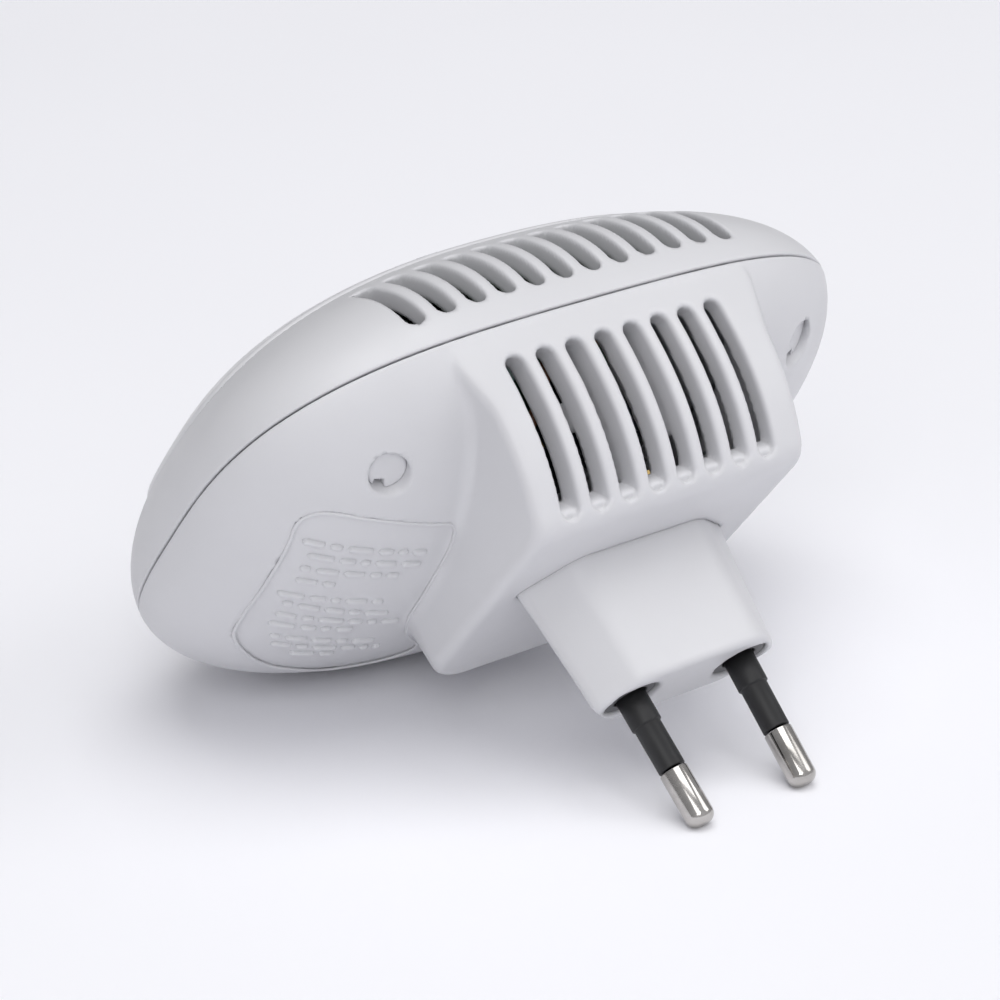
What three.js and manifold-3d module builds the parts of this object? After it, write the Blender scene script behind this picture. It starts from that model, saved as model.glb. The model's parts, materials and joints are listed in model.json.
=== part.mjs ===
// Plug-in ultrasonic pest repeller with two round pins, lying on its underside and on its pin tips.
//
// The pieces are modelled as the device sits in a socket, in millimetres: x runs along the oval
// body, y points up the wall and z points into the socket, with z = 0 on the end face of the plug.
// The outer groups then lean the device over, stand it on z = 0 and centre it over the origin.

import * as THREE from 'three';
import { mergeVertices } from 'three/addons/utils/BufferGeometryUtils.js';
import Module from 'manifold-3d';

const wasm = await Module();
wasm.setup();

// ---- driving dimensions ------------------------------------------------------------------------

const GAP = 0.3;
const WALL = 2.6;

const BODY = { halfLength: 51.9, halfWidth: 38.7, centreY: -14, seamZ: -46, seamGap: 0.4, power: 3.17 };
const FRONT = { height: 23.1, curve: 2.13, polePower: 2.0, poleDrop: 0, side: -1 };
const BACK = { height: 21.2, curve: 2.04, polePower: 2.2, poleDrop: 4.6, side: 1 };
const DOME_SEGMENTS = 40;
const DOME_RINGS = 6;

const BLOCK = {
  halfLength: 22.4, shift: 0.7, faceZ: -18.6, topY: 24.9, faceTopY: 18.4, bottomY: -25, edge: 1.5, corner: 7.5,
};
const BLOCK_VENT = { count: 8, pitch: 4.66, width: 2.8, from: [24.8, -41.2], to: [19.1, -19.8] };
const FRONT_VENT = { count: 12, pitch: 4.63, width: 2.8, from: [24.4, -50.2], to: [16.2, -61.2] };

const PLUG = { tip: 17.8, flat: 10.33, halfWidth: 6.6, height: 18.6, tipTaper: 0.844, flatTaper: 0.942 };
const CARRIER = { halfLength: 18.6, halfWidth: 12.5, thickness: 2.6, screwX: 14.5, screwY: 9.8 };
const PIN = { spread: 9.2, lean: 1.5, length: 19, radius: 2, coreRadius: 1.2, headFrom: 10.9, tailZ: -30 };
const SLEEVE = { radius: 1.9, bore: 1.5, collar: 2.15, collarEnd: 4, endZ: 10.6, rootZ: -3 };
const CARRIER_SCREW = { headRadius: 2.4, headHeight: 1.6, shankRadius: 1.2, shankLength: 4 };
const SEAT = { radius: 3.9, top: -0.4, bottom: -3, pocket: 4.2 };

const WELL = { reach: 34.75, shift: 1.45, y: 11.9, radius: 2.8, bossRadius: 4.3, floorZ: -43.5, shankHole: 1.7 };
const SHELL_SCREW = { headRadius: 2.4, headHeight: 2.2, shankRadius: 1.4, shankLength: 12 };
const LATCH = { x: 30, y: -43.7, halfLength: 2 };
const PLATE = { halfLength: 46.8, halfWidth: 25.4, proud: 0.5, depth: 0.7 };
const LENS = { x: 9, y: 8, radius: 1.5 };
const BOARD = { halfLength: 22, bottomY: -44, topY: 19.4, frontZ: -51.8, backZ: -50.2, corner: 2 };
const BOARD_HOLE = { x: 18.5, topY: 8, bottomY: -40 };
const BOARD_SCREW = {
  headRadius: 2.3, headHeight: 1.6, shankRadius: 1.25, shankLength: 7, hole: 1.6, post: 2.8,
};
const SPEAKER = { radius: 19, frontZ: -62.8, backZ: -54.4, sheet: 1.4 };
const LED = { flange: 1.9, body: 1.5, length: 4.9 };

// Derived places.
const CARRIER_Z = BLOCK.faceZ - WALL - GAP;
const ON_BOARD = BOARD.backZ + GAP;
const FAR = 75;
const SIDES = [-1, 1];
const NAMED_SIDES = [['left', -1], ['right', 1]];

// ---- materials ---------------------------------------------------------------------------------

const matte = (color, roughness, metalness = 0) =>
  new THREE.MeshStandardMaterial({ color, roughness, metalness });

// ---- solids ------------------------------------------------------------------------------------

// A closed three.js geometry as a manifold, with its faces turned outwards.
function solid(geometry) {
  const bare = geometry.clone();
  bare.deleteAttribute('normal');
  bare.deleteAttribute('uv');
  const merged = mergeVertices(bare, 1e-4);
  const vertices = new Float32Array(merged.attributes.position.array);
  const triangles = dropFlatTriangles(merged.index.array);
  if (signedVolume(vertices, triangles) < 0) triangles.reverse();
  const mesh = new wasm.Mesh({ numProp: 3, vertProperties: vertices, triVerts: new Uint32Array(triangles) });
  return new wasm.Manifold(mesh);
}

function dropFlatTriangles(index) {
  const kept = [];
  for (let i = 0; i < index.length; i += 3) {
    const [a, b, c] = [index[i], index[i + 1], index[i + 2]];
    if (a !== b && b !== c && c !== a) kept.push(a, b, c);
  }
  return kept;
}

function signedVolume(vertices, triangles) {
  const corner = (i) => new THREE.Vector3().fromArray(vertices, 3 * i);
  let volume = 0;
  for (let i = 0; i < triangles.length; i += 3) {
    const side = corner(triangles[i + 1]).cross(corner(triangles[i + 2]));
    volume += corner(triangles[i]).dot(side) / 6;
  }
  return volume;
}

function geometryOf(manifold) {
  const { vertProperties, triVerts } = manifold.getMesh();
  const geometry = new THREE.BufferGeometry();
  geometry.setAttribute('position', new THREE.BufferAttribute(vertProperties, 3));
  geometry.setIndex(new THREE.BufferAttribute(triVerts, 1));
  return geometry;
}

const cut = (base, tools) => tools.reduce((rest, tool) => rest.subtract(tool), base);
const join = (base, pieces) => pieces.reduce((whole, piece) => whole.add(piece), base);

function box([x0, x1], [y0, y1], [z0, z1]) {
  const geometry = new THREE.BoxGeometry(x1 - x0, y1 - y0, z1 - z0);
  return solid(geometry.translate((x0 + x1) / 2, (y0 + y1) / 2, (z0 + z1) / 2));
}

// A cylinder along z between two levels.
function rod(x, y, radius, z0, z1, segments = 16) {
  const geometry = new THREE.CylinderGeometry(radius, radius, Math.abs(z1 - z0), segments);
  return solid(geometry.rotateX(Math.PI / 2).translate(x, y, (z0 + z1) / 2));
}

// A turned piece about the z axis. The outline is a list of [radius, z] pairs.
function turned(outline, segments = 16) {
  const points = outline.map(([radius, z]) => new THREE.Vector2(radius, z));
  return solid(new THREE.LatheGeometry(points, segments).rotateX(Math.PI / 2));
}

function turnedRing(inner, outer, z0, z1, segments = 16) {
  return turned([[inner, z0], [outer, z0], [outer, z1], [inner, z1], [inner, z0]], segments);
}

function extruded(shape, z0, z1, options = {}) {
  const settings = { depth: z1 - z0, bevelEnabled: false, curveSegments: 4, ...options };
  return new THREE.ExtrudeGeometry(shape, settings).translate(0, 0, z0);
}

// A slot outline with round ends, centred on the origin and running along y.
function slotShape(length, width) {
  const radius = width / 2;
  const reach = length / 2 - radius;
  const shape = new THREE.Shape();
  shape.moveTo(radius, -reach);
  shape.absarc(0, reach, radius, 0, Math.PI);
  shape.absarc(0, -reach, radius, Math.PI, 2 * Math.PI);
  return shape;
}

// A wire of round section along a smooth path.
function wire(points, radius) {
  const path = new THREE.CatmullRomCurve3(points.map((point) => new THREE.Vector3(...point)));
  const section = new THREE.Shape();
  section.absarc(0, 0, radius, 0, 2 * Math.PI);
  const options = { steps: 10, curveSegments: 4, bevelEnabled: false, extrudePath: path };
  return solid(new THREE.ExtrudeGeometry(section, options));
}

// ---- the oval body -----------------------------------------------------------------------------

const signedPower = (value, power) => Math.sign(value) * Math.abs(value) ** power;

// Half of the oval body, grown outwards by offset. Level runs from 0 at the seam to 1 at the pole.
function dome(half, offset) {
  const profile = [new THREE.Vector2(0, 0)];
  for (let ring = 0; ring <= DOME_RINGS; ring += 1) {
    const angle = (ring / DOME_RINGS) * (Math.PI / 2);
    profile.push(new THREE.Vector2(ring === DOME_RINGS ? 0 : Math.cos(angle), Math.sin(angle)));
  }
  const geometry = new THREE.LatheGeometry(profile, DOME_SEGMENTS);
  const position = geometry.attributes.position;
  for (let i = 0; i < position.count; i += 1) {
    const unit = new THREE.Vector3().fromBufferAttribute(position, i);
    position.setXYZ(i, ...onDome(half, offset, unit));
  }
  return solid(geometry);
}

function onDome(half, offset, unit) {
  const radial = Math.hypot(unit.x, unit.z);
  const angle = Math.atan2(unit.x, unit.z);
  const reach = radial ** (2 / half.curve);
  const level = unit.y ** (2 / half.curve);
  const blend = Math.asin(Math.min(1, unit.y)) / (Math.PI / 2);
  const power = THREE.MathUtils.lerp(BODY.power, half.polePower, blend);
  const x = (BODY.halfLength + offset) * reach * signedPower(Math.cos(angle), 2 / power);
  const y = (BODY.halfWidth + offset) * reach * signedPower(Math.sin(angle), 2 / power);
  const z = BODY.seamZ + half.side * (half.height + offset) * level;
  return [x, BODY.centreY - half.poleDrop * level + y, z];
}

// An oval of the body's kind, extruded between two levels.
function ovalSlab(halfLength, halfWidth, z0, z1) {
  const shape = new THREE.Shape();
  for (let i = 0; i < DOME_SEGMENTS; i += 1) {
    const angle = (i / DOME_SEGMENTS) * 2 * Math.PI;
    const x = halfLength * signedPower(Math.cos(angle), 2 / BODY.power);
    const y = halfWidth * signedPower(Math.sin(angle), 2 / BODY.power);
    if (i === 0) shape.moveTo(x, BODY.centreY + y);
    else shape.lineTo(x, BODY.centreY + y);
  }
  return solid(extruded(shape, z0, z1));
}

// The body's plan outline, shrunk by inset, extruded between two levels.
const planSlab = (inset, z0, z1) => ovalSlab(BODY.halfLength - inset, BODY.halfWidth - inset, z0, z1);

// The slanted slots of one vent. Each slot runs between two points of the y-z plane.
function ventSlots(vent) {
  const [[y0, z0], [y1, z1]] = [vent.from, vent.to];
  const slope = Math.atan2(z1 - z0, y1 - y0);
  const shape = slotShape(Math.hypot(y1 - y0, z1 - z0), vent.width);
  const slots = [];
  for (let i = 0; i < vent.count; i += 1) {
    const slot = extruded(shape, -7, 7, { curveSegments: 2 }).rotateX(slope);
    const x = (i - (vent.count - 1) / 2) * vent.pitch;
    slots.push(solid(slot.translate(x, (y0 + y1) / 2, (z0 + z1) / 2)));
  }
  return slots;
}

const mirroredBelow = (manifold) => {
  const geometry = geometryOf(manifold).scale(1, -1, 1).translate(0, 2 * BODY.centreY, 0);
  return solid(geometry);
};

// ---- front shell -------------------------------------------------------------------------------

// The four places where screws hold the board to the front shell.
function boardCorners() {
  const heights = [BOARD_HOLE.topY, BOARD_HOLE.bottomY];
  return SIDES.flatMap((side) => heights.map((y) => [side * BOARD_HOLE.x, y]));
}

const wellX = (side) => side * WELL.reach + WELL.shift;
const wellRods = (radius, z0, z1, segments) =>
  SIDES.map((side) => rod(wellX(side), WELL.y, radius, z0, z1, segments));

const lensHoles = () =>
  SIDES.map((side) => rod(side * LENS.x, LENS.y, LENS.radius + GAP, -FAR, BOARD.frontZ - 3, 8));

// Everything that stands up inside the front shell.
function frontFittings() {
  const posts = boardCorners().map(([x, y]) => rod(x, y, BOARD_SCREW.post, -FAR, BOARD.frontZ - GAP, 8));
  const [boss, ...bosses] = wellRods(3.6, -FAR, BODY.seamZ - 0.5, 12);
  const speakerRim = turnedRing(SPEAKER.radius + GAP, SPEAKER.radius + 1.8, -FAR, -60, 20)
    .translate([0, BODY.centreY, 0]);
  const ledges = SIDES.map((side) => {
    const width = [side * LATCH.x - 3, side * LATCH.x + 3];
    return box(width, [BODY.centreY - BODY.halfWidth, LATCH.y - 0.9], [-49.8, -48.9]);
  });
  return join(boss, [...bosses, speakerRim, ...posts, ...ledges]).intersect(dome(FRONT, -1));
}

function frontShell() {
  const plateBed = cut(ovalSlab(PLATE.halfLength + GAP, PLATE.halfWidth + GAP, -FAR, BODY.seamZ),
    [dome(FRONT, -PLATE.depth - GAP)]);
  const shell = join(cut(dome(FRONT, 0), [dome(FRONT, -WALL), plateBed]), [frontFittings()]);
  const screwHoles = wellRods(WELL.shankHole, -57, BODY.seamZ + 1, 8);
  const boardHoles = boardCorners().map(([x, y]) => rod(x, y, BOARD_SCREW.hole, -60, BOARD.frontZ + 1, 8));
  const topVent = ventSlots(FRONT_VENT);
  const seamCut = box([-FAR, FAR], [-FAR, FAR], [BODY.seamZ - BODY.seamGap / 2, BODY.seamZ + 5]);
  const rebate = cut(planSlab(1.1, BODY.seamZ - 2.6, BODY.seamZ + 1), [planSlab(2.7, -FAR, 0)]);
  return cut(shell, [...screwHoles, ...lensHoles(), ...boardHoles, ...topVent, ...topVent.map(mirroredBelow),
    seamCut, rebate]);
}

function frontPlate() {
  const oval = ovalSlab(PLATE.halfLength, PLATE.halfWidth, -FAR, BODY.seamZ);
  const skin = cut(dome(FRONT, PLATE.proud), [dome(FRONT, -PLATE.depth)]);
  return cut(oval.intersect(skin), lensHoles());
}

// ---- back shell --------------------------------------------------------------------------------

const bevelled = (edge, segments) => ({
  bevelEnabled: true, bevelThickness: edge, bevelSize: edge, bevelOffset: -edge, bevelSegments: segments,
});

// The block that carries the plug: its upper wall bulges, its outline lies in the z-y plane.
function blockGeometry(inset) {
  const { topY, faceTopY, bottomY, faceZ, edge } = BLOCK;
  const faceU = -faceZ + inset;
  const rootU = -BODY.seamZ;
  const shape = new THREE.Shape();
  const corner = 1.7 * edge;
  shape.moveTo(faceU + corner, bottomY + inset);
  shape.quadraticCurveTo(faceU, bottomY + inset, faceU, bottomY + inset + corner);
  shape.lineTo(faceU, faceTopY - inset);
  shape.bezierCurveTo(faceU + 0.6, faceTopY + 3 - inset, rootU - 18, topY - inset, rootU, topY - 0.2 - inset);
  shape.lineTo(rootU, bottomY - 1 + inset);
  const reach = BLOCK.halfLength - inset - edge;
  return extruded(shape, -reach, reach, { ...bevelled(edge, 2), curveSegments: 7 })
    .rotateY(Math.PI / 2)
    .translate(BLOCK.shift, 0, 0);
}

// The block's outline seen along the pins, with its two large lower corners.
function blockOutline(inset) {
  const x = BLOCK.halfLength - inset;
  const y = BLOCK.bottomY + inset;
  const corner = BLOCK.corner - inset;
  const shape = new THREE.Shape();
  shape.moveTo(-x, FAR);
  shape.lineTo(-x, y + corner);
  shape.absarc(-x + corner, y + corner, corner, Math.PI, 1.5 * Math.PI);
  shape.absarc(x - corner, y + corner, corner, 1.5 * Math.PI, 2 * Math.PI);
  shape.lineTo(x, FAR);
  return solid(extruded(shape, BODY.seamZ - 1, 0, { curveSegments: 5 }).translate(BLOCK.shift, 0, 0));
}

const block = (inset) => solid(blockGeometry(inset)).intersect(blockOutline(inset));

function hexagon(tip, flat, halfWidth, corner) {
  const corners = [
    [tip, 0], [flat, halfWidth], [-flat, halfWidth], [-tip, 0], [-flat, -halfWidth], [flat, -halfWidth],
  ];
  const points = corners.map(([x, y]) => new THREE.Vector2(x, y));
  const shape = new THREE.Shape();
  points.forEach((point, i) => {
    const before = points[(i + 5) % 6].clone().sub(point).setLength(corner).add(point);
    const after = points[(i + 1) % 6].clone().sub(point).setLength(corner).add(point);
    if (i === 0) shape.moveTo(before.x, before.y);
    else shape.lineTo(before.x, before.y);
    shape.quadraticCurveTo(point.x, point.y, after.x, after.y);
  });
  return shape;
}

const LABEL = [
  [-43.8, -2], [-43.6, 2], [-42, 4.6], [-38.5, 5.4], [-33.6, 4.8], [-26.1, 3.7], [-22.9, 3.2], [-21.9, 1.4],
  [-21.9, -6], [-21.8, -18], [-20.6, -23], [-17.8, -27.3], [-15.6, -31], [-16.6, -35.6], [-21, -38.2],
  [-27, -38.4], [-33, -36.4], [-38.5, -32.8], [-42.2, -27.8], [-43.9, -22.4], [-44.1, -12],
];

function labelOutline() {
  const shape = new THREE.Shape();
  LABEL.forEach(([x, y], i) => (i ? shape.lineTo(x, y) : shape.moveTo(x, y)));
  return shape;
}

function latchHook(side) {
  const width = [side * LATCH.x - LATCH.halfLength, side * LATCH.x + LATCH.halfLength];
  const arm = box(width, [LATCH.y - 0.5, LATCH.y + 0.6], [-51, -43]);
  const root = box(width, [LATCH.y - 5, LATCH.y + 0.6], [-45.4, -43]);
  const tooth = box(width, [LATCH.y - 1, LATCH.y + 0.6], [-51, -50.2]);
  return join(arm, [root, tooth]).intersect(dome(BACK, -1).add(planSlab(3, -60, BODY.seamZ)));
}

function backShell() {
  const outer = join(dome(BACK, 0), [block(0)]);
  const carrierRoom = box([-19, 19], [-13, 13], [-40, BLOCK.faceZ - WALL + 0.01]);
  const hollow = join(dome(BACK, -WALL), [block(WALL), carrierRoom]);
  const label = cut(solid(extruded(labelOutline(), BODY.seamZ, -20)), [dome(BACK, -0.35)]);
  const seamCut = box([-FAR, FAR], [-FAR, FAR], [-FAR, BODY.seamZ + BODY.seamGap / 2]);
  const body = cut(outer, [seamCut, hollow, label]);
  const lip = cut(planSlab(1.4, BODY.seamZ - 2.2, BODY.seamZ + 1.5), [planSlab(2.3, -FAR, 0)]);
  const [boss, otherBoss] = wellRods(WELL.bossRadius, BODY.seamZ + 0.4, -30, 12);
  const bosses = join(boss, [otherBoss]).intersect(dome(BACK, -1));
  const shell = join(body, [bosses, lip, latchHook(-1), latchHook(1)]);
  const wells = wellRods(WELL.radius, WELL.floorZ, -25, 16);
  const shanks = wellRods(WELL.shankHole, -50, -40, 8);
  const window = hexagon(PLUG.tip + GAP, PLUG.flat + GAP, PLUG.halfWidth + GAP, 1.2);
  const plugHole = solid(extruded(window, -24, -15));
  const openings = [...wells, ...shanks, plugHole, ...ventSlots(BLOCK_VENT)];
  return cut(shell, [...openings, ...carrierScrewHoles(1.5, -19.4)]);
}

const carrierScrewHoles = (radius, z1) => SIDES.map(
  (side) => rod(CARRIER.screwX * side, CARRIER.screwY * side, radius, -28, z1, 8));

function screwCap(x) {
  const cap = rod(x, WELL.y, WELL.radius - GAP, -39.6, -30, 16).intersect(dome(BACK, -0.5));
  const notch = box([x - 0.5, x + 0.5], [WELL.y - 3, WELL.y - 1.2], [-39, -30]);
  return cut(cap, [notch]);
}

// A cross-head screw. Its shank points towards -z, or towards +z where direction is 1.
function screw(x, y, headZ, size, direction = -1) {
  const { headRadius, headHeight, shankRadius, shankLength } = size;
  const outline = [[0, 0], [headRadius, 0], [headRadius, headHeight * 0.6], [headRadius * 0.7, headHeight],
    [0, headHeight]];
  const head = turned(outline.map(([radius, z]) => [radius, headZ - direction * z]), 12).translate([x, y, 0]);
  const shank = rod(x, y, shankRadius, headZ - direction * 0.2, headZ + direction * shankLength, 8);
  const top = headZ - direction * headHeight;
  const depth = [Math.min(top, top + direction * 0.9), Math.max(top, top + direction * 0.9)];
  const reach = headRadius * 0.55;
  const flat = box([x - reach, x + reach], [y - 0.35, y + 0.35], depth);
  const upright = box([x - 0.35, x + 0.35], [y - reach, y + reach], depth);
  return cut(join(head, [shank]), [flat, upright]);
}

// ---- plug --------------------------------------------------------------------------------------

function plugTaper(x, z) {
  const share = THREE.MathUtils.clamp((z + PLUG.height) / PLUG.height, 0, 1);
  const outward = THREE.MathUtils.clamp((Math.abs(x) - PLUG.flat) / (PLUG.tip - PLUG.flat), 0, 1);
  const atEnd = THREE.MathUtils.lerp(PLUG.flatTaper, PLUG.tipTaper, outward);
  return THREE.MathUtils.lerp(1, atEnd, share);
}

function plugBody() {
  const edge = 0.8;
  const shape = hexagon(PLUG.tip, PLUG.flat, PLUG.halfWidth, 1.6);
  const geometry = extruded(shape, CARRIER_Z + GAP + edge, -edge, bevelled(edge, 3));
  const position = geometry.attributes.position;
  for (let i = 0; i < position.count; i += 1) {
    const [x, z] = [position.getX(i), position.getZ(i)];
    position.setX(i, x * plugTaper(x, z));
  }
  const pocket = [[0, SEAT.bottom - GAP], [SEAT.pocket, SEAT.bottom - GAP], [SEAT.pocket, 1], [0, 1]];
  const pockets = SIDES.map((side) => onPin(turned(pocket, 20), side));
  return cut(solid(geometry), [...pockets, ...SIDES.map(pinBore)]);
}

const pinBore = (side) => onPin(turned([[0, -28], [SLEEVE.bore, -28], [SLEEVE.bore, 1], [0, 1]], 10), side);

// The plate inside the block that carries the two pins and closes the back of the plug.
function pinCarrier() {
  const { halfLength, halfWidth, thickness } = CARRIER;
  const plate = box([-halfLength, halfLength], [-halfWidth, halfWidth], [CARRIER_Z - thickness, CARRIER_Z]);
  return cut(plate, [...SIDES.map(pinBore), ...carrierScrewHoles(1.6, -18)]);
}

// A turned piece moved onto the axis of one of the two pins, which lean towards each other.
function onPin(manifold, side) {
  return manifold.rotate([0, -side * PIN.lean, 0]).translate([side * PIN.spread, 0, 0]);
}

function pin(side) {
  const { radius, coreRadius, headFrom, length, tailZ } = PIN;
  const outline = [[0, tailZ], [coreRadius, tailZ], [coreRadius, headFrom], [radius, headFrom]];
  for (let step = 0; step <= 4; step += 1) {
    const angle = (step / 4) * (Math.PI / 2);
    outline.push([step === 4 ? 0 : radius * Math.cos(angle), length - radius + radius * Math.sin(angle)]);
  }
  return onPin(turned(outline, 16), side);
}

function pinSleeve(side) {
  const { radius, bore, collar, collarEnd, endZ, rootZ } = SLEEVE;
  const outline = [
    [bore, rootZ], [collar, rootZ], [collar, collarEnd], [radius, collarEnd + 0.4], [radius, endZ],
    [bore, endZ], [bore, rootZ],
  ];
  return onPin(turned(outline), side);
}

const pinSeat = (side) =>
  onPin(turnedRing(SLEEVE.collar + GAP, SEAT.radius, SEAT.bottom, SEAT.top, 20), side);
const pinTerminal = (side) => onPin(turnedRing(PIN.coreRadius + GAP, 2.3, -29, -25, 12), side);

// ---- electronics -------------------------------------------------------------------------------

function roundedBoard() {
  const { halfLength, bottomY, topY, corner } = BOARD;
  const shape = new THREE.Shape();
  shape.moveTo(-halfLength + corner, bottomY);
  shape.lineTo(halfLength - corner, bottomY);
  shape.lineTo(halfLength, bottomY + corner);
  shape.lineTo(halfLength, topY - corner);
  shape.lineTo(halfLength - corner, topY);
  shape.lineTo(-halfLength + corner, topY);
  shape.lineTo(-halfLength, topY - corner);
  shape.lineTo(-halfLength, bottomY + corner);
  for (const [x, y] of boardCorners()) {
    const hole = new THREE.Path();
    hole.absarc(x, y, BOARD_SCREW.hole, 0, 2 * Math.PI);
    shape.holes.push(hole);
  }
  return solid(extruded(shape, BOARD.frontZ, BOARD.backZ, { curveSegments: 5 }));
}

function canister(x, y, radius, height) {
  const outline = [
    [0, 0], [radius, 0], [radius, height - 1.6], [radius - 0.5, height - 1.1], [radius, height - 0.6],
    [radius - 0.4, height], [0, height],
  ];
  return turned(outline).translate([x, y, ON_BOARD]);
}

function chip(x, y) {
  const body = box([x - 4.8, x + 4.8], [y - 3.2, y + 3.2], [ON_BOARD + 0.6, ON_BOARD + 4]);
  const legs = [];
  for (let i = 0; i < 4; i += 1) {
    const legX = x + (i - 1.5) * 2.54;
    legs.push(box([legX - 0.3, legX + 0.3], [y - 3.8, y + 3.8], [ON_BOARD, ON_BOARD + 1.6]));
  }
  return join(body, legs);
}

function transistor(x, y) {
  const can = rod(x, y, 2.4, ON_BOARD + 2, ON_BOARD + 6.6, 16);
  const legs = [-1.27, 0, 1.27].map((dx) => rod(x + dx, y, 0.3, ON_BOARD, ON_BOARD + 3, 6));
  return join(cut(can, [box([x - 3, x + 3], [y - 3, y - 1.4], [-60, -30])]), legs);
}

function resistor(x, y, length, radius) {
  const outline = [
    [0, 0], [radius * 0.8, 0], [radius, 0.6], [radius, length - 0.6], [radius * 0.8, length], [0, length],
  ];
  const level = ON_BOARD + radius + 0.4;
  const body = turned(outline, 14).rotate([0, 90, 0]).translate([x - length / 2, y, level]);
  const width = [y - 0.3, y + 0.3];
  const leads = SIDES.flatMap((side) => {
    const from = x + side * (length / 2 - 0.5);
    const bend = x + side * (length / 2 + 0.8);
    return [
      box([Math.min(from, bend), Math.max(from, bend)], width, [level - 0.3, level + 0.3]),
      box([bend - 0.3, bend + 0.3], width, [ON_BOARD, level + 0.3]),
    ];
  });
  return join(body, leads);
}

function drumCore(x, y) {
  const outline = [[0, 0], [6, 0], [6, 1.6], [2.5, 1.6], [2.5, 9.4], [6, 9.4], [6, 11], [0, 11]];
  return turned(outline, 24).translate([x, y, ON_BOARD]);
}

function drumWinding(x, y) {
  return turnedRing(2.8, 5.6, 1.9, 9.1, 24).translate([x, y, ON_BOARD]);
}

function led(side) {
  const top = BOARD.frontZ - GAP;
  const outline = [
    [0, top], [LED.flange, top], [LED.flange, top - 1], [LED.body, top - 1], [LED.body, top - 3.4],
    [LED.body * 0.7, top - 4.5], [0, top - LED.length],
  ];
  return turned(outline, 16).translate([side * LENS.x, LENS.y, 0]);
}

function lens(side) {
  const inner = BOARD.frontZ - LED.length - 2 * GAP;
  return rod(side * LENS.x, LENS.y, LENS.radius, -FAR, inner, 16).intersect(dome(FRONT, PLATE.proud + 0.2));
}

// ---- speaker -----------------------------------------------------------------------------------

function speakerFrame() {
  const { radius, frontZ, backZ, sheet } = SPEAKER;
  const outline = [
    [13, frontZ], [radius, frontZ], [radius, frontZ + 2], [radius - 2, frontZ + 2], [11, backZ],
    [4, backZ], [4, backZ - sheet], [10.2, backZ - sheet], [radius - 4.4, frontZ + sheet],
    [13, frontZ + sheet], [13, frontZ],
  ];
  return turned(outline, 20).translate([0, BODY.centreY, 0]);
}

function speakerCone() {
  const z = SPEAKER.frontZ - GAP;
  const outline = [[0, z + 5.2], [3, z + 5.2], [12.4, z + 0.5], [12.4, z], [3, z + 4.4], [0, z + 4.4]];
  return turned(outline, 20).translate([0, BODY.centreY, 0]);
}

function piezoDisc() {
  const z = SPEAKER.frontZ + 5.3;
  return turned([[0, z], [6, z], [6, z + 0.8], [0, z + 0.8]], 24).translate([0, BODY.centreY, 0]);
}

function speakerRing() {
  const z = SPEAKER.frontZ - GAP;
  return turnedRing(13.4, 16.6, z - 1.1, z, 20).translate([0, BODY.centreY, 0]);
}

// ---- assembly ----------------------------------------------------------------------------------

const plastic = () => matte(0xd4d4d8, 0.5);
const blackPlastic = () => matte(0x1b1b1d, 0.45);
const steel = () => matte(0xb9b9bd, 0.35, 1);

const device = new THREE.Group();

function add(name, manifold, material) {
  const mesh = new THREE.Mesh(geometryOf(manifold), material);
  mesh.name = name;
  device.add(mesh);
}

add('front_shell', frontShell(), plastic());
add('back_shell', backShell(), plastic());
add('front_plate', frontPlate(), matte(0xe2e2e6, 0.35));
add('plug_body', plugBody(), matte(0xdcdce0, 0.5));
add('pin_carrier', pinCarrier(), matte(0x3a3a3d, 0.6));

for (const [label, side] of NAMED_SIDES) {
  add(`pin_${label}`, pin(side), matte(0xc8c6c2, 0.18, 1));
  add(`pin_sleeve_${label}`, pinSleeve(side), blackPlastic());
  add(`pin_seat_${label}`, pinSeat(side), matte(0x3a3a3d, 0.6));
  add(`pin_terminal_${label}`, pinTerminal(side), matte(0xc0a050, 0.4, 1));
  add(`shell_screw_${label}`, screw(wellX(side), WELL.y, WELL.floorZ + GAP, SHELL_SCREW), steel());
  add(`screw_cap_${label}`, screwCap(wellX(side)), plastic());
  add(`carrier_screw_${label}`, screw(CARRIER.screwX * side, CARRIER.screwY * side,
    CARRIER_Z - CARRIER.thickness - GAP, CARRIER_SCREW, 1), steel());
  add(`led_${label}`, led(side), matte(0xb8e0b0, 0.3));
  add(`led_lens_${label}`, lens(side), matte(0xf0f0f4, 0.1));
}

add('main_board', roundedBoard(), matte(0x1d6b35, 0.5));
for (const [label, side] of NAMED_SIDES) {
  for (const [height, y] of [['upper', BOARD_HOLE.topY], ['lower', BOARD_HOLE.bottomY]]) {
    add(`board_screw_${height}_${label}`, screw(side * BOARD_HOLE.x, y, ON_BOARD, BOARD_SCREW), steel());
  }
}

add('dropper_capacitor', box([-17, -1], [-9, -1], [ON_BOARD, ON_BOARD + 12]), matte(0xc9a227, 0.4));
add('filter_capacitor', canister(11, -4, 5, 15), matte(0x20242c, 0.35));
add('output_capacitor', canister(12, -20, 3.2, 11), matte(0x20242c, 0.35));
add('choke_core', drumCore(-9, -24), matte(0x2b2b2d, 0.7));
add('choke_winding', drumWinding(-9, -24), matte(0xb4612a, 0.35, 1));
add('bridge_rectifier', box([-20, -14], [-16, -11], [ON_BOARD, ON_BOARD + 6]), matte(0x161618, 0.5));
add('control_chip', chip(4, -35), matte(0x19191b, 0.5));
add('drive_transistor', transistor(14, -32), matte(0x19191b, 0.5));
add('power_resistor', resistor(-10, 6, 11, 2), matte(0x9fb6b4, 0.5));
add('fuse_resistor', resistor(8, 8, 8, 1.5), matte(0x8a5a3c, 0.5));

add('speaker_frame', speakerFrame(), blackPlastic());
add('speaker_cone', speakerCone(), matte(0xb9bcc0, 0.3, 1));
add('piezo_disc', piezoDisc(), matte(0xc8b070, 0.4, 1));
add('speaker_ring', speakerRing(), matte(0x2a2a2c, 0.6));

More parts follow.
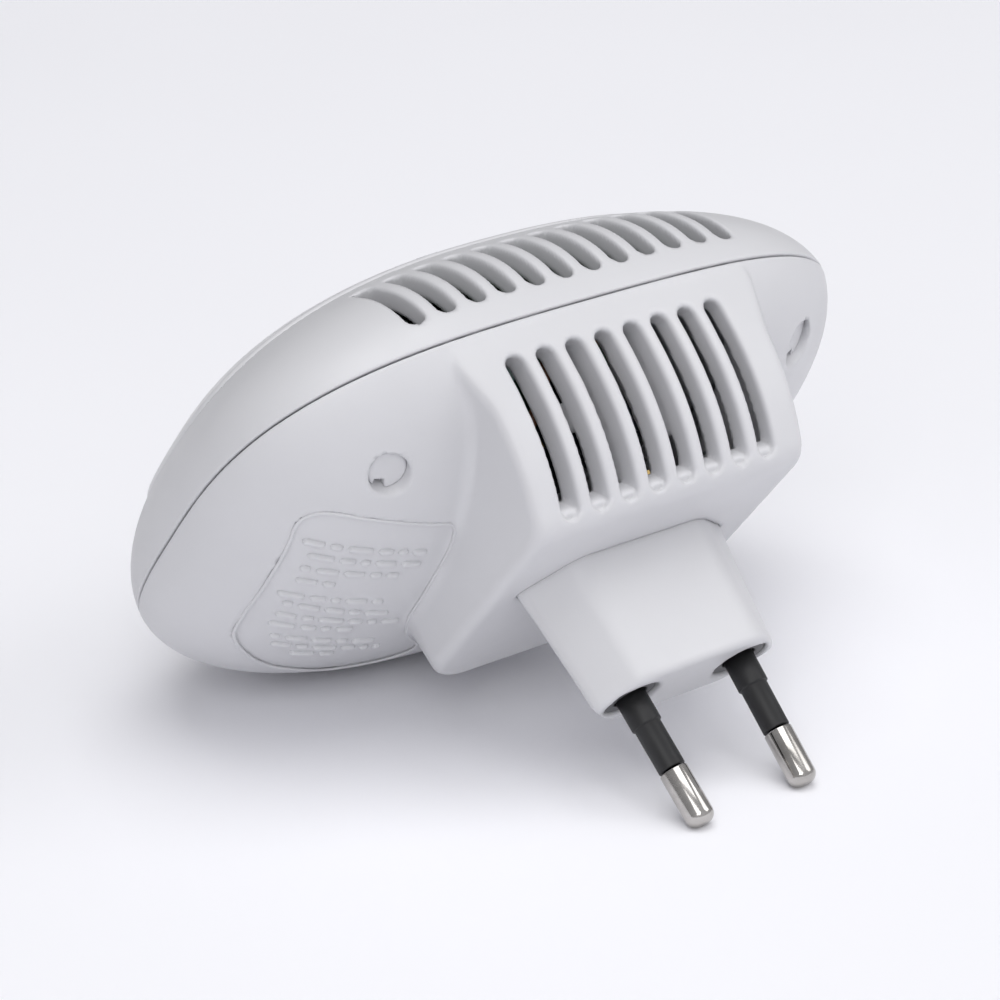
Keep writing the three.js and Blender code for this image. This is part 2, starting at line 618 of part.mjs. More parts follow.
// Each wire runs from a pin terminal, or from the speaker, to the board.
const mainsWire = (side) => wire(
  [[side * 9.9, 0, -30.6], [side * 8, 3, -36], [side * 3, 11, -44], [side * 2.6, 14, -49.6]], 0.8);
const speakerWire = (side) => wire([
  [side * 1.6, -32, -52.6], [side * 1.6, -31, -53.2], [side * 1.4, -24, -53.3], [side * 1.3, -17.6, -53.8],
], 0.5);
add('mains_wire_brown', mainsWire(-1), matte(0x6b3f24, 0.5));
add('mains_wire_blue', mainsWire(1), matte(0x2b4f9e, 0.5));
add('speaker_wire_red', speakerWire(-1), matte(0xb02a25, 0.5));
add('speaker_wire_black', speakerWire(1), matte(0x18181a, 0.5));

// The device lies on its two pin tips and on the underside of the back shell. The lean is the
// steepest line that touches both, seen along x.
function restingLean() {
  const tipZ = PIN.length - PIN.radius;
  let lean = 0;
  for (let step = 0; step <= 200; step += 1) {
    const angle = (step / 200) * (Math.PI / 2);
    const [, y, z] = onDome(BACK, 0, new THREE.Vector3(-Math.cos(angle), Math.sin(angle), 0));
    const reach = Math.hypot(y, tipZ - z);
    lean = Math.max(lean, Math.atan2(-y, tipZ - z) - Math.asin(PIN.radius / reach));
  }
  return lean;
}

const leaned = new THREE.Group();
leaned.rotation.x = Math.PI / 2 + restingLean();
leaned.add(device);

const turnedRound = new THREE.Group();
turnedRound.rotation.z = Math.PI;
turnedRound.add(leaned);

const group = new THREE.Group();
group.add(turnedRound);
group.updateMatrixWorld(true);
const bounds = new THREE.Box3().setFromObject(group, true);
const centre = bounds.getCenter(new THREE.Vector3());
group.position.set(-centre.x, -centre.y, -bounds.min.z);

export default group;
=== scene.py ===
"""Looks for the plug-in ultrasonic pest repeller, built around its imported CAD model.

Casing pieces are written as distance fields in the device's own millimetres (x along the oval
body, y up the wall, z into the socket) and turned into meshes by dual contouring.
"""

import json
import math

import bmesh
import bpy
import numpy as np
from mathutils import Matrix, Vector


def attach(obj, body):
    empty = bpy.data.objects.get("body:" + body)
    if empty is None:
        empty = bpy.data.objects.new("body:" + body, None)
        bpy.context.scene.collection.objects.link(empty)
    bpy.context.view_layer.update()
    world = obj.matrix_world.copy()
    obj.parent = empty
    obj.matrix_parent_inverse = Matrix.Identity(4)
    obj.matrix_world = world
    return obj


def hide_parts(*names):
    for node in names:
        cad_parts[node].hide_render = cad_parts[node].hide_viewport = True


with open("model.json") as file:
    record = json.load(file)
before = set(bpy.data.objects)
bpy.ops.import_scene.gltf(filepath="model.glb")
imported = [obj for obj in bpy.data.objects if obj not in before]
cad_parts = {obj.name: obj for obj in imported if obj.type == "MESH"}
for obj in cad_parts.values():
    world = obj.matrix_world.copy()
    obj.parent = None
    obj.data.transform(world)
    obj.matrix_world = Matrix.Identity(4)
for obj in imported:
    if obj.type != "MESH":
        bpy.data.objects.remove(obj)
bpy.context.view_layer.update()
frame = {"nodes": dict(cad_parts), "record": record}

# ---- where the device lies ----------------------------------------------------------------------

MM = 0.001
LEAN_COS, LEAN_SIN = 0.74162, 0.67083
PLUG_FACE = (0.0, 0.0302612, 0.0133973)


def to_row(points):
    """Device millimetres to metres in the row frame."""
    p = np.asarray(points, float) * MM
    y = PLUG_FACE[1] + LEAN_SIN * p[:, 1] + LEAN_COS * p[:, 2]
    z = PLUG_FACE[2] + LEAN_COS * p[:, 1] - LEAN_SIN * p[:, 2]
    return np.stack([-p[:, 0], y, z], axis=1)


# ---- driving dimensions, in millimetres ---------------------------------------------------------

SEAM = -46.0
SEAM_GAP = 0.3
HALF_LENGTH, HALF_WIDTH, CENTRE_Y, POWER = 51.9, 38.7, -14.0, 3.17
FRONT = {"height": 23.1, "curve": 2.13, "pole_power": 2.0, "drop": 0.0}
BACK = {"height": 21.2, "curve": 2.04, "pole_power": 2.2, "drop": 4.6}
WALL, WALL_EDGE, SEAM_EDGE = 3.0, 0.4, 0.35
VENT_WALL, VENT_WALL_SLOPE = 3.7, 0.03
LIP_DEPTH, LIP_HALF, LIP_REACH = 1.9, 0.6, 2.2
REBATE_HALF, REBATE_REACH = 0.95, 2.6

BLOCK_SHIFT, BLOCK_X, BLOCK_FACE, BLOCK_BOTTOM, BLOCK_CORNER = 0.7, 22.4, -18.6, -25.0, 7.5
BLOCK_TOP, BLOCK_FALL, BLOCK_CROWN, BLOCK_FLARE = 24.7, 5.4, 0.0022, 2.0
BLOCK_DRAFT, BLOCK_UNDER_DRAFT, BLOCK_FACE_EDGE, BLOCK_SIDE_EDGE = 0.03, 0.05, 2.0, 1.7
BULGE_ROOT, BULGE_SPAN, BULGE_POWER = -44.0, 23.8, 2.9
BLOCK_VENT = {"count": 8, "pitch": 4.66, "half": 1.4, "bend": 0.0,
              "a": (24.7, -41.2), "b": (19.1, -19.8)}
FRONT_VENT = {"count": 12, "pitch": 4.63, "half": 1.4, "bend": 0.0016,
              "a": (24.4, -50.2), "b": (16.2, -61.2)}
SLOT_FLOOR, SLOT_FLOOR_DROP = 5.2, 4.3
FRONT_SLOT_FLOOR, FRONT_SLOT_END = 4.0, 12.0
RIB_DEPTH, RIB_HALF = 4.0, 1.4
PLUG_TIP, PLUG_FLAT, PLUG_HALF, PLUG_HEIGHT = 17.8, 10.33, 6.6, 18.6
PLUG_ROOT, PLUG_FACE_SHARE, PLUG_TIP_SHARE = -21.0, 0.942, 0.844
PIN_X, PIN_LEAN, PIN_BORE, PIN_TAIL = 9.2, math.radians(1.5), 1.5, -30.0
SEAT_POCKET, SEAT_FLOOR = 4.1, -2.8
WELL_X, WELL_Y, WELL_R, WELL_DEPTH, BOSS_R = {-1: -33.2, 1: 36.2}, 11.5, 2.8, 4.0, 4.4
CAP_DEPTH, CAP_TILT, CAP_HALF = 1.75, 0.08, 0.75
PLATE_X, PLATE_Y, PLATE_PROUD, PLATE_BACK = 46.8, 25.4, 0.4, 1.0
LENS_X, LENS_Y, LENS_R = 9.0, 8.0, 1.5
LABEL_DEPTH = 0.35
CELL = 0.46
SIDES = (("left", -1), ("right", 1))


# ---- distance fields ----------------------------------------------------------------------------

def smooth_max(a, b, k):
    h = np.maximum(k - np.abs(a - b), 0) / k
    return np.maximum(a, b) + h * h * k / 4


def smooth_min(a, b, k):
    return -smooth_max(-a, -b, k)


def smoothstep(a, b, x):
    t = np.clip((x - a) / (b - a), 0, 1)
    return t * t * (3 - 2 * t)


def dome_power(half, z):
    """The oval's exponent at a level: fuller at the seam, rounder towards the pole."""
    share = np.clip(np.abs((z - SEAM) / half["height"]), 0, 1) ** (half["curve"] / 2)
    return POWER + (half["pole_power"] - POWER) * np.arcsin(share) * 2 / np.pi


def dome_level(half, n, x, y, z):
    m = half["curve"]
    f = np.abs((z - SEAM) / half["height"])
    shifted = y - CENTRE_Y + half["drop"] * np.clip(f, 0, 1)
    reach = np.abs(x / HALF_LENGTH) ** n + np.abs(shifted / HALF_WIDTH) ** n
    return (reach ** (m / n) + f**m) ** (1 / m) - 1


def dome(half, x, y, z):
    """Distance to one half of the oval body, to first order."""
    h = 0.01
    n = dome_power(half, z)
    level = dome_level(half, n, x, y, z)
    gx = dome_level(half, n, x + h, y, z) - level
    gy = dome_level(half, n, x, y + h, z) - level
    gz = dome_level(half, n, x, y, z + h) - level
    return level * h / np.maximum(np.sqrt(gx * gx + gy * gy + gz * gz), 1e-6)


def block(x, y, z):
    """The block that carries the plug. Its vented wall bulges."""
    depth = np.clip((z - BULGE_ROOT) / BULGE_SPAN, 0, 1.15)
    top = BLOCK_TOP - BLOCK_CROWN * x * x - BLOCK_FALL * depth**BULGE_POWER
    slope = BLOCK_FALL * BULGE_POWER / BULGE_SPAN * depth ** (BULGE_POWER - 1)
    crown = (y - top) / np.sqrt(1 + slope * slope)
    flare = BLOCK_DRAFT * (BLOCK_FACE - z) + BLOCK_FLARE * smoothstep(-34, -45, z)
    side = np.abs(x - BLOCK_SHIFT) - BLOCK_X - flare + BLOCK_CORNER
    under = BLOCK_BOTTOM - BLOCK_UNDER_DRAFT * (BLOCK_FACE - z) - y + BLOCK_CORNER
    corner = np.hypot(np.maximum(side, 0), np.maximum(under, 0))
    outline = np.minimum(np.maximum(side, under), 0) + corner - BLOCK_CORNER
    walls = smooth_max(crown, z - BLOCK_FACE, BLOCK_FACE_EDGE)
    return smooth_max(walls, outline, BLOCK_SIDE_EDGE)


def back_outer(x, y, z):
    """The back half's outside: the dome with the block blended on at its root."""
    blend = 0.3 + 1.3 * smoothstep(-45, -38, z)
    return smooth_min(dome(BACK, x, y, z), block(x, y, z), blend)


def stadium(vent, x, y, z):
    """Distance to the nearest slot outline, and how far along the slot the point is."""
    (ya, za), (yb, zb) = vent["a"], vent["b"]
    length, half, last = math.hypot(yb - ya, zb - za), vent["half"], vent["count"] - 1
    level = z - za + vent["bend"] * x * x
    along = ((y - ya) * (yb - ya) + level * (zb - za)) / length
    index = np.clip(np.round(x / vent["pitch"] + last / 2), 0, last)
    across = x - (index - last / 2) * vent["pitch"]
    over = np.abs(along - length / 2) - (length / 2 - half)
    return np.hypot(across, np.maximum(over, 0)) - half, along / length, index


def cut(shell, tool, k):
    """Takes the tool out of the shell and rounds the edge over the distance k."""
    return smooth_max(shell, -tool, k)


def capped(radial, z, low, high):
    """A round or prismatic tool that ends at two levels."""
    return np.maximum(radial, np.maximum(low - z, z - high))


def hexagon(x, y, taper, grow):
    """Distance to the plug's six-sided outline, narrowed by the taper."""
    slant = math.atan2(PLUG_HALF, PLUG_TIP - PLUG_FLAT)
    wide = np.abs(x) / taper
    sides = (wide - PLUG_TIP) * math.sin(slant) + np.abs(y) * math.cos(slant)
    sides = smooth_max(sides, wide - PLUG_TIP + 0.55, 0.9)
    return smooth_max(sides, np.abs(y) - PLUG_HALF, 1.6) - grow


def on_pin(x, y, z, side):
    """Distance from the axis of one pin."""
    across = (x - side * PIN_X) * math.cos(PIN_LEAN) + side * z * math.sin(PIN_LEAN)
    return np.hypot(across, y)


# The outline of the label recess on the back dome, in x and y.
LABEL = np.array([
    (-43.7, -0.6), (-43.6, 2.0), (-43.0, 3.7), (-42.0, 4.7), (-40.6, 5.3), (-38.5, 5.4),
    (-36.1, 5.1), (-33.6, 4.8), (-29.9, 4.3), (-26.1, 3.7), (-23.4, 3.4), (-22.4, 2.4),
    (-22.1, 0.3), (-22.1, -2.2),
    (-22.3, -6.0), (-22.4, -10.0), (-22.3, -14.2), (-22.1, -18.0), (-21.3, -21.1), (-20.1, -24.1),
    (-17.8, -27.3), (-15.9, -29.9), (-15.3, -33.0), (-17.4, -36.4), (-21.4, -38.3), (-25.9, -38.9),
    (-31.0, -36.9), (-35.1, -35.0), (-38.5, -32.4), (-41.4, -29.1), (-43.1, -26.3), (-43.9, -23.8),
    (-44.2, -18.7), (-44.1, -13.6), (-44.0, -8.3), (-43.8, -3.6)])


def closed_curve(points, steps):
    """A smooth closed curve through the points."""
    p = np.asarray(points, float)
    a, b, c, d = np.roll(p, 1, 0), p, np.roll(p, -1, 0), np.roll(p, -2, 0)
    out = []
    for t in np.arange(steps) / steps:
        out.append(0.5 * (2 * b + (c - a) * t + (2 * a - 5 * b + 4 * c - d) * t**2
                          + (3 * b - a - 3 * c + d) * t**3))
    return np.stack(out, axis=1).reshape(-1, 2)


LABEL_LINE = closed_curve(LABEL, 4)


def outline_distance(line, x, y):
    """Signed distance to a closed outline in the x-y plane."""
    best = np.full(x.shape, 1e9)
    inside = np.zeros(x.shape, bool)
    for (x0, y0), (x1, y1) in zip(line, np.roll(line, -1, 0)):
        dx, dy = x1 - x0, y1 - y0
        t = np.clip(((x - x0) * dx + (y - y0) * dy) / (dx * dx + dy * dy), 0, 1)
        best = np.minimum(best, np.hypot(x - x0 - t * dx, y - y0 - t * dy))
        crosses = (y0 > y) != (y1 > y)
        if dy:
            inside ^= crosses & (x < x0 + (y - y0) * dx / dy)
    return np.where(inside, -best, best)


def with_ribs(shell, outer, slots, along, index):
    """Adds the ribs that partly close three of the block's slots, under the surface."""
    part = (index == 1) & (np.abs(along - 0.42) < 0.09)
    rib = (index == 2) | ((index == 4) & (along < 0.7)) | part
    inside = rib & (outer < -2.9) & (slots < 1.6) & (slots > 0.05)
    return np.where(inside, np.minimum(shell, np.abs(outer + RIB_DEPTH) - RIB_HALF), shell)


def back_shell(x, y, z):
    outer = back_outer(x, y, z)
    slots, along, index = stadium(BLOCK_VENT, x, y, z)
    vented = smoothstep(26, 22, np.abs(x)) * smoothstep(5, 12, y)
    wall = WALL + (VENT_WALL - VENT_WALL_SLOPE * x - WALL) * vented
    shell = smooth_max(outer, -(outer + wall), WALL_EDGE)
    shell = smooth_max(shell, SEAM + SEAM_GAP / 2 - z, SEAM_EDGE)
    lip = np.maximum(np.abs(outer + LIP_DEPTH) - LIP_HALF, np.abs(z - SEAM) - LIP_REACH)
    shell = with_ribs(np.minimum(shell, lip), outer, slots, along, index)
    floor = SLOT_FLOOR - SLOT_FLOOR_DROP * smoothstep(0.82, 0.97, along)
    rim = 0.14 + 0.76 * smoothstep(-2.0, -0.7, outer)
    shell = cut(shell, smooth_max(slots, -(outer + floor), 0.2), rim)
    for well_x in WELL_X.values():
        radial = np.hypot(x - well_x, y - WELL_Y)
        boss = capped(radial - BOSS_R, z, -45.4, -30)
        shell = np.minimum(shell, np.maximum(boss, outer + 1))
        shell = cut(shell, np.maximum(radial - WELL_R, -(outer + WELL_DEPTH)), 0.35)
    label = outline_distance(LABEL_LINE, x, y)
    shell = cut(shell, np.maximum(label, -(outer + LABEL_DEPTH)), 0.25)
    return cut(shell, capped(hexagon(x, y, 1.0, 0.12), z, -26, -15), 0.3)


def front_shell(x, y, z):
    outer = dome(FRONT, x, y, z)
    shell = smooth_max(outer, -(outer + WALL), WALL_EDGE)
    shell = smooth_max(shell, z - (SEAM - SEAM_GAP / 2), SEAM_EDGE)
    rebate = np.maximum(np.abs(outer + LIP_DEPTH) - REBATE_HALF, np.abs(z - SEAM) - REBATE_REACH)
    shell = np.maximum(shell, -rebate)
    for mirrored in (y, 2 * CENTRE_Y - y):
        slots, _, _ = stadium(FRONT_VENT, x, mirrored, z)
        slots = np.maximum(slots, CENTRE_Y + FRONT_SLOT_END - mirrored)
        shell = cut(shell, np.maximum(slots, -(outer + FRONT_SLOT_FLOOR)), 0.55)
    bed = np.maximum(plate_outline(x, y) + 0.3, -(outer + 1.2))
    return cut(shell, np.maximum(bed, z - SEAM), 0.3)


def plate_outline(x, y):
    """Distance to the plate's oval outline, to first order."""
    u, v = np.abs(x) / PLATE_X, np.abs(y - CENTRE_Y) / PLATE_Y
    rho = np.maximum((u**POWER + v**POWER) ** (1 / POWER), 0.05)
    slope = np.hypot((u / rho) ** (POWER - 1) / PLATE_X, (v / rho) ** (POWER - 1) / PLATE_Y)
    return (rho - 1) / np.maximum(slope, 0.01)


def front_plate(x, y, z):
    outer = dome(FRONT, x, y, z)
    plate = smooth_max(plate_outline(x, y), outer - PLATE_PROUD, 0.7)
    plate = np.maximum(np.maximum(plate, -(outer + PLATE_BACK)), z - SEAM)
    for side in (-1, 1):
        plate = cut(plate, np.hypot(x - side * LENS_X, y - LENS_Y) - LENS_R - 0.15, 0.3)
    return plate


def plug_body(x, y, z):
    share = np.clip((z + PLUG_HEIGHT) / PLUG_HEIGHT, 0, 1)
    outward = np.clip((np.abs(x) - PLUG_FLAT) / (PLUG_TIP - PLUG_FLAT), 0, 1)
    face_share = PLUG_FACE_SHARE + (PLUG_TIP_SHARE - PLUG_FACE_SHARE) * outward
    taper = 1 + share * (face_share - 1)
    body = smooth_max(hexagon(x, y, taper, 0), z, 1.3)
    body = np.maximum(body, PLUG_ROOT - z)
    for side in (-1, 1):
        radial = on_pin(x, y, z, side)
        body = cut(body, capped(radial - SEAT_POCKET, z, SEAT_FLOOR, 2), 0.5)
        body = np.maximum(body, -capped(radial - PIN_BORE, z, PIN_TAIL, 2))
    return body


def screw_cap(side):
    """The field of one blind cap that sits in a screw well, with a notch at its lower edge."""
    def field(x, y, z):
        outer = back_outer(x, y, z)
        dx, dy = x - WELL_X[side], y - WELL_Y
        level = outer + CAP_DEPTH + CAP_TILT * (dx - dy)
        cap = smooth_max(np.hypot(dx, dy) - WELL_R + 0.07, np.abs(level) - CAP_HALF, 0.3)
        splay = 0.2 * np.maximum(-1.4 - dy, 0)
        notch = np.maximum(np.abs(dx + 0.8) - 0.65 - splay, dy + 1.4)
        return cut(cap, notch, 0.2)
    return field


# ---- dual contouring ----------------------------------------------------------------------------

def axis(low, high, step, fine=()):
    """Grid levels from low to high, closer together inside the fine spans."""
    marks = [low]
    while marks[-1] < high:
        here = marks[-1]
        size = min([step] + [s for a, b, s in fine if a <= here < b])
        marks.append(here + size)
    return np.array(marks)


def evaluate(field, points, chunk=300000):
    """Field values at many points, a chunk at a time."""
    parts = [field(*points[i:i + chunk].T) for i in range(0, len(points), chunk)]
    return np.concatenate(parts) if parts else np.zeros(0)


def sample(field, axes, reach, stride=4):
    """Field values on the grid. Only blocks near the surface are evaluated in full."""
    marks = [np.unique(np.append(np.arange(0, len(a), stride), len(a) - 1)) for a in axes]
    grid = np.stack(np.meshgrid(*[a[m] for a, m in zip(axes, marks)], indexing="ij"), axis=-1)
    coarse = evaluate(field, grid.reshape(-1, 3)).reshape(grid.shape[:3])
    near = np.abs(coarse) < reach
    active = np.zeros([n - 1 for n in near.shape], bool)
    for i in (0, 1):
        for j in (0, 1):
            for k in (0, 1):
                corner = zip((i, j, k), active.shape)
                active |= near[tuple(slice(low, low + n) for low, n in corner)]
    owner = [np.clip(np.searchsorted(m, np.arange(len(a)), side="right") - 1, 0, len(m) - 2)
             for a, m in zip(axes, marks)]
    open_points = active[np.ix_(*owner)]
    values = np.where(coarse[:-1, :-1, :-1] < 0, -9.0, 9.0)[np.ix_(*owner)]
    at = np.argwhere(open_points)
    points = np.stack([a[at[:, d]] for d, a in enumerate(axes)], axis=1)
    values[open_points] = evaluate(field, points)
    return values


def crossings(field, values, axes, d):
    """Grid edges along one axis that the surface crosses: their indices, points and signs."""
    low = [slice(None)] * 3
    high = [slice(None)] * 3
    low[d], high[d] = slice(None, -1), slice(1, None)
    f0, f1 = values[tuple(low)], values[tuple(high)]
    hit = (f0 < 0) != (f1 < 0)
    at = np.argwhere(hit)
    f0, f1 = f0[hit], f1[hit]
    start = np.stack([a[at[:, e]] for e, a in enumerate(axes)], axis=1)
    span = axes[d][at[:, d] + 1] - axes[d][at[:, d]]
    t0, t1 = np.zeros(len(at)), np.ones(len(at))
    rising = f1 > 0
    for _ in range(4):
        t = t0 + (t1 - t0) * np.clip(f0 / (f0 - f1), 0.05, 0.95)
        point = start.copy()
        point[:, d] += t * span
        f = evaluate(field, point)
        first = (f < 0) == (f0 < 0)
        t0, f0 = np.where(first, t, t0), np.where(first, f, f0)
        t1, f1 = np.where(first, t1, t), np.where(first, f1, f)
    t = t0 + (t1 - t0) * f0 / (f0 - f1)
    point = start.copy()
    point[:, d] += t * span
    return at, point, rising


def gradients(field, points):
    """Unit vectors that point out of the field's surface."""
    h = 0.02
    out = np.zeros_like(points)
    for d in range(3):
        step = np.zeros(3)
        step[d] = h
        out[:, d] = evaluate(field, points + step) - evaluate(field, points - step)
    return out / np.maximum(np.linalg.norm(out, axis=1, keepdims=True), 1e-9)


def contour(field, axes, reach):
    """Vertices and quads of the field's zero surface."""
    values = sample(field, axes, reach)
    shape = np.array(values.shape) - 1
    cells, normals, points, loops, flips = [], [], [], [], []
    for d in range(3):
        at, point, rising = crossings(field, values, axes, d)
        e, f = (d + 1) % 3, (d + 2) % 3
        inner = (at[:, e] > 0) & (at[:, f] > 0) & (at[:, e] < shape[e]) & (at[:, f] < shape[f])
        at, point, rising = at[inner], point[inner], rising[inner]
        ring = []
        for de, df in ((-1, -1), (0, -1), (0, 0), (-1, 0)):
            corner = at.copy()
            corner[:, e] += de
            corner[:, f] += df
            ring.append(np.ravel_multi_index(corner.T, shape))
        cells.append(np.stack(ring, axis=1))
        normals.append(gradients(field, point))
        points.append(point)
        flips.append(~rising)
    cells, normals = np.concatenate(cells), np.concatenate(normals)
    points, flips = np.concatenate(points), np.concatenate(flips)
    used, index = np.unique(cells, return_inverse=True)
    index = index.reshape(cells.shape)
    flat = index.ravel()
    count = np.bincount(flat, minlength=len(used))

    def total(weights):
        return np.bincount(flat, weights=np.repeat(weights, 4), minlength=len(used))

    mean = np.stack([total(points[:, d]) for d in range(3)], axis=1) / count[:, None]
    ata = np.zeros((len(used), 3, 3))
    atb = np.zeros((len(used), 3))
    offset = np.einsum("ij,ij->i", normals, points)
    for i in range(3):
        atb[:, i] = total(normals[:, i] * offset)
        for j in range(3):
            ata[:, i, j] = total(normals[:, i] * normals[:, j])
    rest = atb - np.einsum("nij,nj->ni", ata, mean)
    step = np.linalg.solve(ata + 0.08 * np.eye(3), rest[:, :, None])[:, :, 0]
    place = np.stack(np.unravel_index(used, shape), axis=1)
    low = np.stack([a[place[:, d]] for d, a in enumerate(axes)], axis=1)
    high = np.stack([a[place[:, d] + 1] for d, a in enumerate(axes)], axis=1)
    vertices = np.clip(mean + step, low, high)
    index[flips] = index[flips][:, ::-1]
    return vertices, index


# ---- pieces -------------------------------------------------------------------------------------

def make_piece(name, vertices, faces, material, slot, replaces=()):
    """A smooth mesh piece from device millimetres. Faces are an array of quads or a list."""
    mesh = bpy.data.meshes.new(name)
    mesh.from_pydata(to_row(vertices).tolist(), [], [list(map(int, f)) for f in faces])
    mesh.polygons.foreach_set("use_smooth", np.ones(len(mesh.polygons), bool))
    mesh.materials.append(material)
    mesh.update()
    piece = bpy.data.objects.new(name, mesh)
    bpy.context.scene.collection.objects.link(piece)
    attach(piece, "root")
    if replaces:
        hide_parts(*replaces)
    return piece


def field_piece(name, field, axes, slot, reach=3.0):
    """A piece from a distance field. It replaces the CAD node that it is named after."""
    vertices, faces = contour(field, axes, reach)
    make_piece("shaped_" + name, vertices, faces, MATERIALS[slot], slot, [name])


def lathe(outline, side, segments=72):
    """A turned piece about one pin's axis, from a closed or axis-to-axis list of (radius, z)."""
    outline = np.array(outline, float)
    rows = len(outline)
    angle = np.arange(segments) * 2 * np.pi / segments
    r, z = outline[:, :1], outline[:, 1:]
    x, y = r * np.cos(angle), r * np.sin(angle)
    z = np.broadcast_to(z, x.shape)
    tilt = -side * PIN_LEAN
    px = x * math.cos(tilt) + z * math.sin(tilt) + side * PIN_X
    pz = -x * math.sin(tilt) + z * math.cos(tilt)
    vertices = np.stack([px, y, pz], axis=-1).reshape(-1, 3)
    faces = []
    for i in range(rows - 1):
        low, high = i * segments, (i + 1) * segments
        for j in range(segments):
            k = (j + 1) % segments
            faces.append((low + j, low + k, high + k, high + j))
    return vertices, faces


def weld(piece, distance=1e-6):
    """Joins the vertices that meet on an axis or at a seam, and turns the faces outwards."""
    bm = bmesh.new()
    bm.from_mesh(piece.data)
    bmesh.ops.remove_doubles(bm, verts=bm.verts, dist=distance)
    bmesh.ops.dissolve_degenerate(bm, edges=bm.edges, dist=distance)
    bmesh.ops.recalc_face_normals(bm, faces=bm.faces)
    bm.to_mesh(piece.data)
    bm.free()


def arc(cx, cz, radius, start, end, steps=6):
    """Points of a round corner, with angles in degrees from the outward direction."""
    angles = np.radians(np.linspace(start, end, steps))
    return [(cx + radius * math.cos(a), cz + radius * math.sin(a)) for a in angles]


# ---- materials ----------------------------------------------------------------------------------

class Nodes:
    """A small helper that builds one node material."""

    def __init__(self, name, roughness, metallic=0.0, specular=0.5, coat=0.0):
        self.material = bpy.data.materials.new(name)
        self.material.use_nodes = True
        self.tree = self.material.node_tree
        self.shader = self.tree.nodes["Principled BSDF"]
        self.shader.inputs["Metallic"].default_value = metallic
        self.shader.inputs["Roughness"].default_value = roughness
        self.shader.inputs["Specular IOR Level"].default_value = specular
        self.shader.inputs["Coat Weight"].default_value = coat
        self.place = self.add("ShaderNodeTexCoord").outputs["Object"]

    def add(self, kind, **settings):
        node = self.tree.nodes.new(kind)
        for key, value in settings.items():
            if hasattr(node, key):
                setattr(node, key, value)
            else:
                node.inputs[key.replace("_", " ")].default_value = value
        return node

    def link(self, source, target):
        self.tree.links.new(source, target)

    def noise(self, scale, detail=3.0, roughness=0.5, place=None):
        node = self.add("ShaderNodeTexNoise", Scale=scale, Detail=detail, Roughness=roughness)
        self.link(place or self.place, node.inputs["Vector"])
        return node.outputs["Fac"]

    def stretched(self, scale):
        node = self.add("ShaderNodeMapping")
        node.inputs["Scale"].default_value = scale
        self.link(self.place, node.inputs["Vector"])
        return node.outputs["Vector"]

    def ramp(self, source, low, high, start=0.3, end=0.7):
        node = self.add("ShaderNodeMapRange")
        limits = {"From Min": start, "From Max": end, "To Min": low, "To Max": high}
        for key, value in limits.items():
            node.inputs[key].default_value = value
        self.link(source, node.inputs["Value"])
        return node.outputs["Result"]

    def colours(self, source, first, second, start=0.3, end=0.7):
        node = self.add("ShaderNodeValToRGB")
        node.color_ramp.elements[0].position = start
        node.color_ramp.elements[0].color = (*first, 1)
        node.color_ramp.elements[1].position = end
        node.color_ramp.elements[1].color = (*second, 1)
        self.link(source, node.inputs["Fac"])
        self.link(node.outputs["Color"], self.shader.inputs["Base Color"])

    def rough(self, source):
        self.link(source, self.shader.inputs["Roughness"])

    def bump(self, source, distance, strength=1.0):
        node = self.add("ShaderNodeBump")
        node.inputs["Strength"].default_value = strength
        node.inputs["Distance"].default_value = distance
        self.link(source, node.inputs["Height"])
        self.link(node.outputs["Normal"], self.shader.inputs["Normal"])


def moulded(name, colour, roughness, grain=2600, depth=0.00001, spread=0.02):
    """Moulded plastic: a fine spark-eroded grain, faint flow clouds and uneven gloss."""
    m = Nodes(name, roughness)
    lighter = tuple(min(c * (1 + spread), 1) for c in colour)
    darker = tuple(c * (1 - spread) for c in colour)
    m.colours(m.noise(45, 4), darker, lighter)
    m.rough(m.ramp(m.noise(160, 5), 0.9 * roughness, 1.12 * roughness))
    m.bump(m.noise(grain, 2), depth, 0.35)
    return m.material


def brushed_nickel(name):
    m = Nodes(name, 0.16, metallic=1.0)
    fine = m.noise(900, 4, place=m.stretched((1, 0.15, 0.15)))
    m.colours(m.noise(300, 5), (0.40, 0.385, 0.365), (0.58, 0.56, 0.54))
    m.rough(m.ramp(fine, 0.10, 0.26))
    m.bump(fine, 0.000006, 0.3)
    return m.material


def metal(name, first, second, roughness, scale=500):
    m = Nodes(name, roughness, metallic=1.0)
    m.colours(m.noise(scale, 4), first, second)
    m.rough(m.ramp(m.noise(scale * 2, 4), roughness - 0.07, roughness + 0.1))
    m.bump(m.noise(scale * 3, 2), 0.00002, 0.3)
    return m.material


def banded(name, first, second, roughness, scale, metallic=0.0):
    """Wound or printed material with fine bands along the device's length."""
    m = Nodes(name, roughness, metallic=metallic)
    wave = m.add("ShaderNodeTexWave", Scale=scale, Distortion=0.6, Detail=2.0)
    m.link(m.place, wave.inputs["Vector"])
    m.colours(wave.outputs["Fac"], first, second, 0.2, 0.8)
    m.bump(wave.outputs["Fac"], 0.00006, 0.6)
    return m.material


